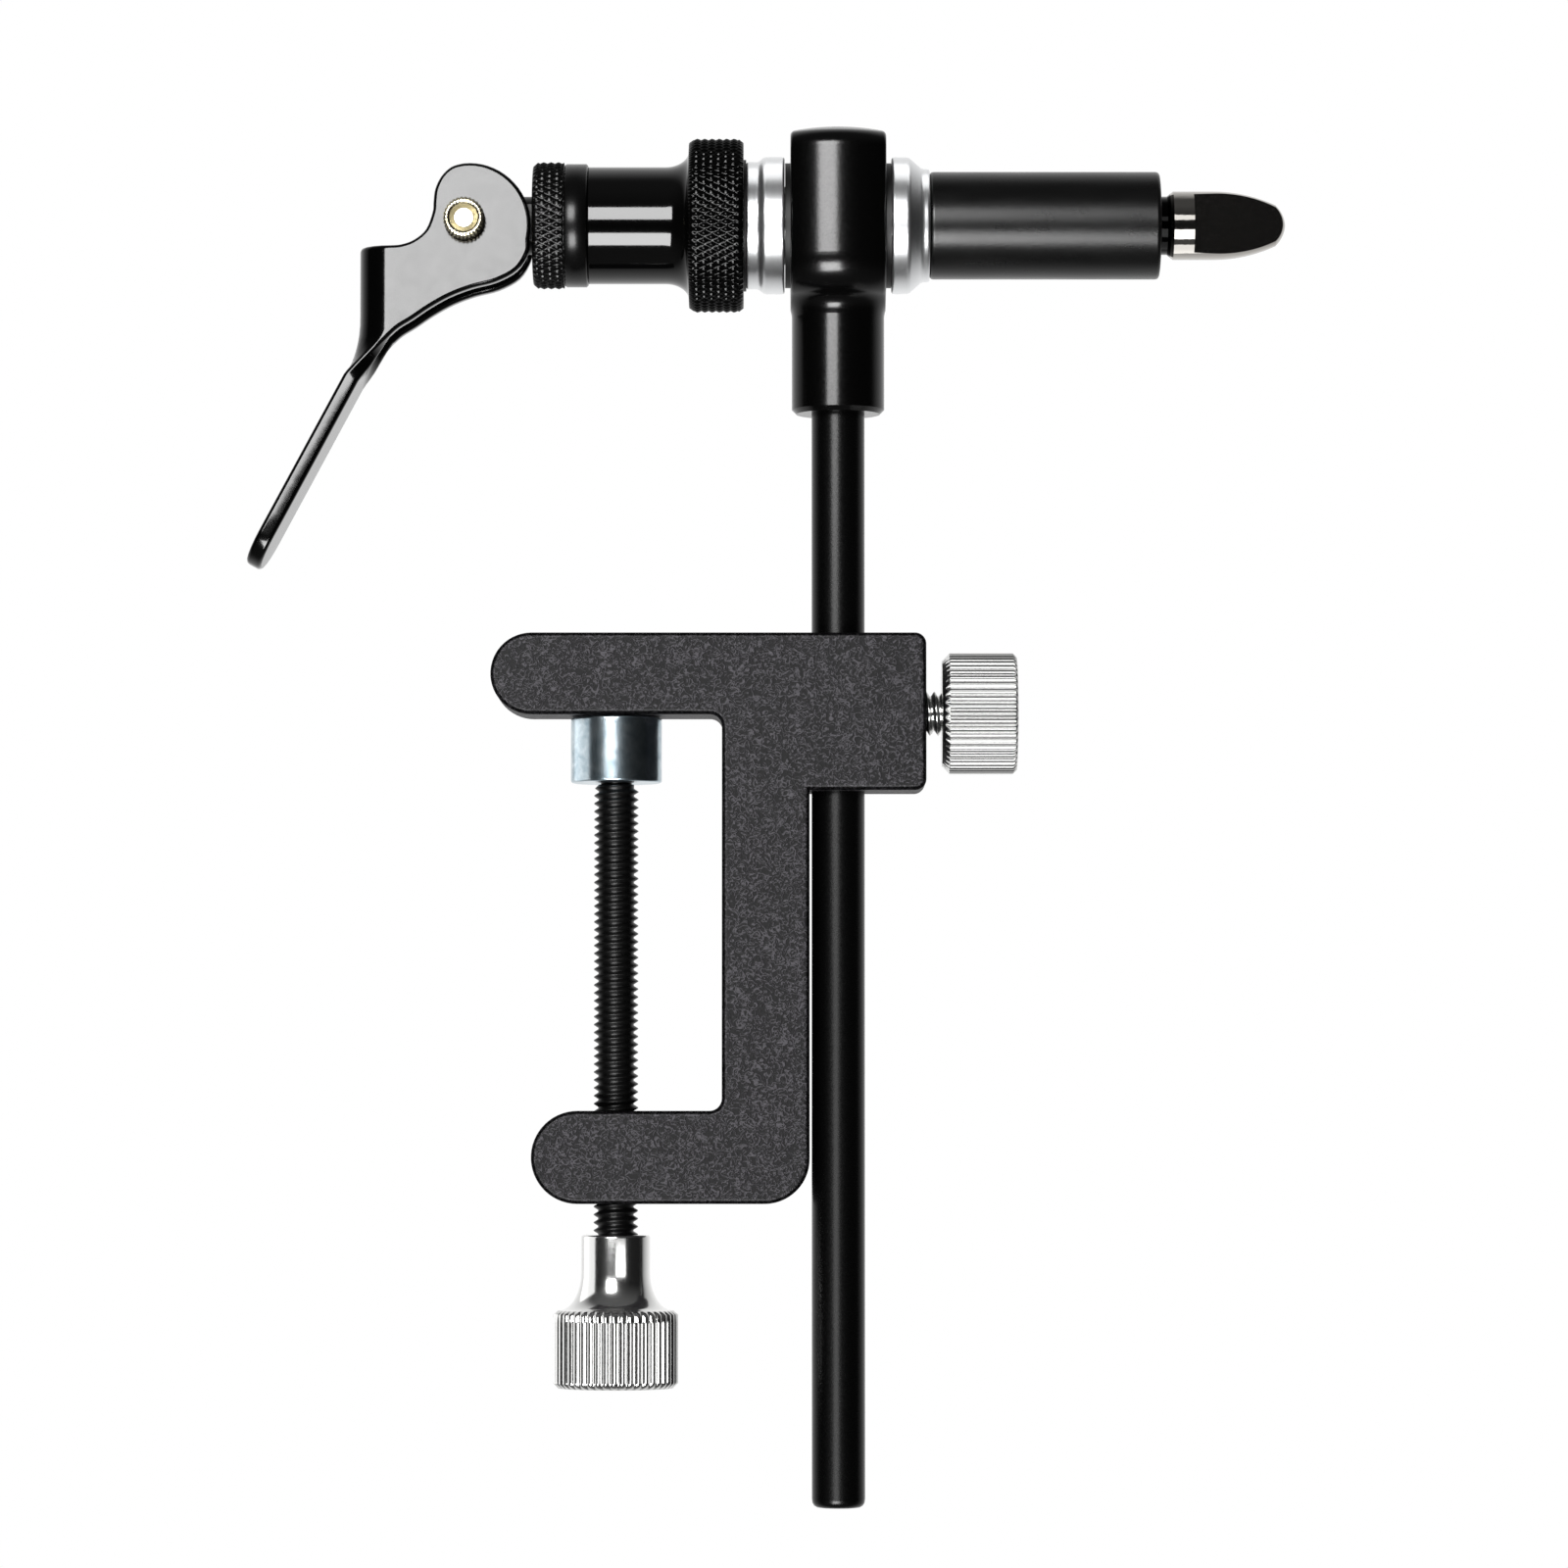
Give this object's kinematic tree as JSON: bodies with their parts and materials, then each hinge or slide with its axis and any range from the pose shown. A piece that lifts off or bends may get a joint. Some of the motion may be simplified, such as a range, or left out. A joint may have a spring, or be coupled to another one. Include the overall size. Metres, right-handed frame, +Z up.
{
  "type": "fly tying vise",
  "caption": "Rotary fly tying vise: table clamp, round stem, turning head with cam lever, draw collet and bullet-shaped hook jaws.",
  "frame": {"origin": "underside of the clamp's upper arm on the clamp screw's axis, where the table top is gripped", "axes": "+Z up along the stem, +X towards the hook jaws, -Y towards the camera of the picture"},
  "size_m": [0.1854, 0.0312, 0.2469],
  "materials": {
    "frame_coat": "dark grey wrinkle powder coat",
    "black_rod": "semi-gloss black",
    "black_gloss": "gloss black",
    "black_anodised": "gloss black anodised",
    "black_satin": "satin black anodised",
    "black_washer": "matt black",
    "bright_aluminium": "polished",
    "jaw_steel": "mirror polished steel",
    "inner_steel": "turned steel",
    "bronze": "plain bearing bronze",
    "pivot_brass": "bright knurled brass",
    "black_oxide": "black oxide, threaded",
    "zinc": "zinc plate, slightly blue",
    "nickel": "bright nickel plate"
  },
  "bodies": {
    "clamp": {"clamp_frame": "frame_coat"},
    "pad": {"clamp_pad": "zinc"},
    "screw": {"clamp_screw": "black_oxide", "clamp_knob": "nickel"},
    "lock_stud": {"lock_stud": "nickel"},
    "lock_knob": {"lock_knob": "nickel"},
    "stem": {"stem": "black_rod"},
    "head": {"head_housing": "black_gloss", "bearing_bush_left": "bronze", "bearing_bush_right": "bronze", "thrust_washer_left": "black_washer", "thrust_washer_right": "black_washer"},
    "spindle": {"spindle_tube": "inner_steel", "nose_collar": "bright_aluminium", "collet_sleeve": "black_satin", "drag_collar": "bright_aluminium", "drag_washer": "black_washer", "rotary_barrel": "black_anodised", "return_spring": "inner_steel"},
    "nut": {"adjusting_nut": "black_anodised"},
    "drawbar": {"drawbar": "black_oxide", "collet_shank": "jaw_steel"},
    "front_jaw": {"front_jaw": "jaw_steel"},
    "back_jaw": {"back_jaw": "jaw_steel"},
    "lever": {"cam_lever": "black_gloss", "pivot_screw": "inner_steel", "pivot_nut": "pivot_brass"}
  },
  "joints": [
    {"name": "pad_travel", "type": "slide", "parent": "clamp", "child": "pad", "axis": [0, 0, -1], "range_m": [0, 0.056]},
    {"name": "screw_turn", "type": "hinge", "parent": "pad", "child": "screw", "pos_m": [0, 0, -0.06], "axis": [0, 0, -1], "range_deg": [0, 14288]},
    {"name": "lock_travel", "type": "slide", "parent": "clamp", "child": "lock_stud", "axis": [1, 0, 0], "range_m": [0, 0.00423]},
    {"name": "lock_turn", "type": "hinge", "parent": "lock_stud", "child": "lock_knob", "pos_m": [0.06, 0, 0.00055], "axis": [1, 0, 0], "range_deg": [0, 1080]},
    {"name": "stem_height", "type": "slide", "parent": "clamp", "child": "stem", "axis": [0, 0, 1], "range_m": [-0.039, 0.115]},
    {"name": "head_swing", "type": "hinge", "parent": "stem", "child": "head", "pos_m": [0.0397, 0, 0.06], "axis": [0, 0, 1], "continuous": true},
    {"name": "rotary_turn", "type": "hinge", "parent": "head", "child": "spindle", "pos_m": [0.0397, 0, 0.0885], "axis": [1, 0, 0], "continuous": true},
    {"name": "nut_turn", "type": "hinge", "parent": "spindle", "child": "nut", "pos_m": [-0.01, 0, 0.0885], "axis": [1, 0, 0], "range_deg": [-180, 180]},
    {"name": "drawbar_travel", "type": "slide", "parent": "spindle", "child": "drawbar", "axis": [1, 0, 0], "range_m": [0, 0.0015], "deforming": ["return_spring"]},
    {"name": "lever_turn", "type": "hinge", "parent": "drawbar", "child": "lever", "pos_m": [-0.0271, 0, 0.0885], "axis": [0, 1, 0], "range_deg": [0, 95]},
    {"name": "front_jaw_flex", "type": "hinge", "parent": "drawbar", "child": "front_jaw", "pos_m": [0.075, 0, 0.0885], "axis": [0, 0, -1], "range_deg": [0, 0.4]},
    {"name": "back_jaw_flex", "type": "hinge", "parent": "drawbar", "child": "back_jaw", "pos_m": [0.075, 0, 0.0885], "axis": [0, 0, 1], "range_deg": [0, 0.4]}
  ],
  "couplings": [
    {"joint": "screw_turn", "follows": "pad_travel", "rad_per_m": 4453},
    {"joint": "lock_turn", "follows": "lock_travel", "rad_per_m": 4453},
    {"joint": "drawbar_travel", "follows": "lever_turn", "m_per_rad": 0.00089},
    {"joint": "front_jaw_flex", "follows": "lever_turn", "ratio": 0.003468},
    {"joint": "back_jaw_flex", "follows": "lever_turn", "ratio": 0.003468}
  ]
}
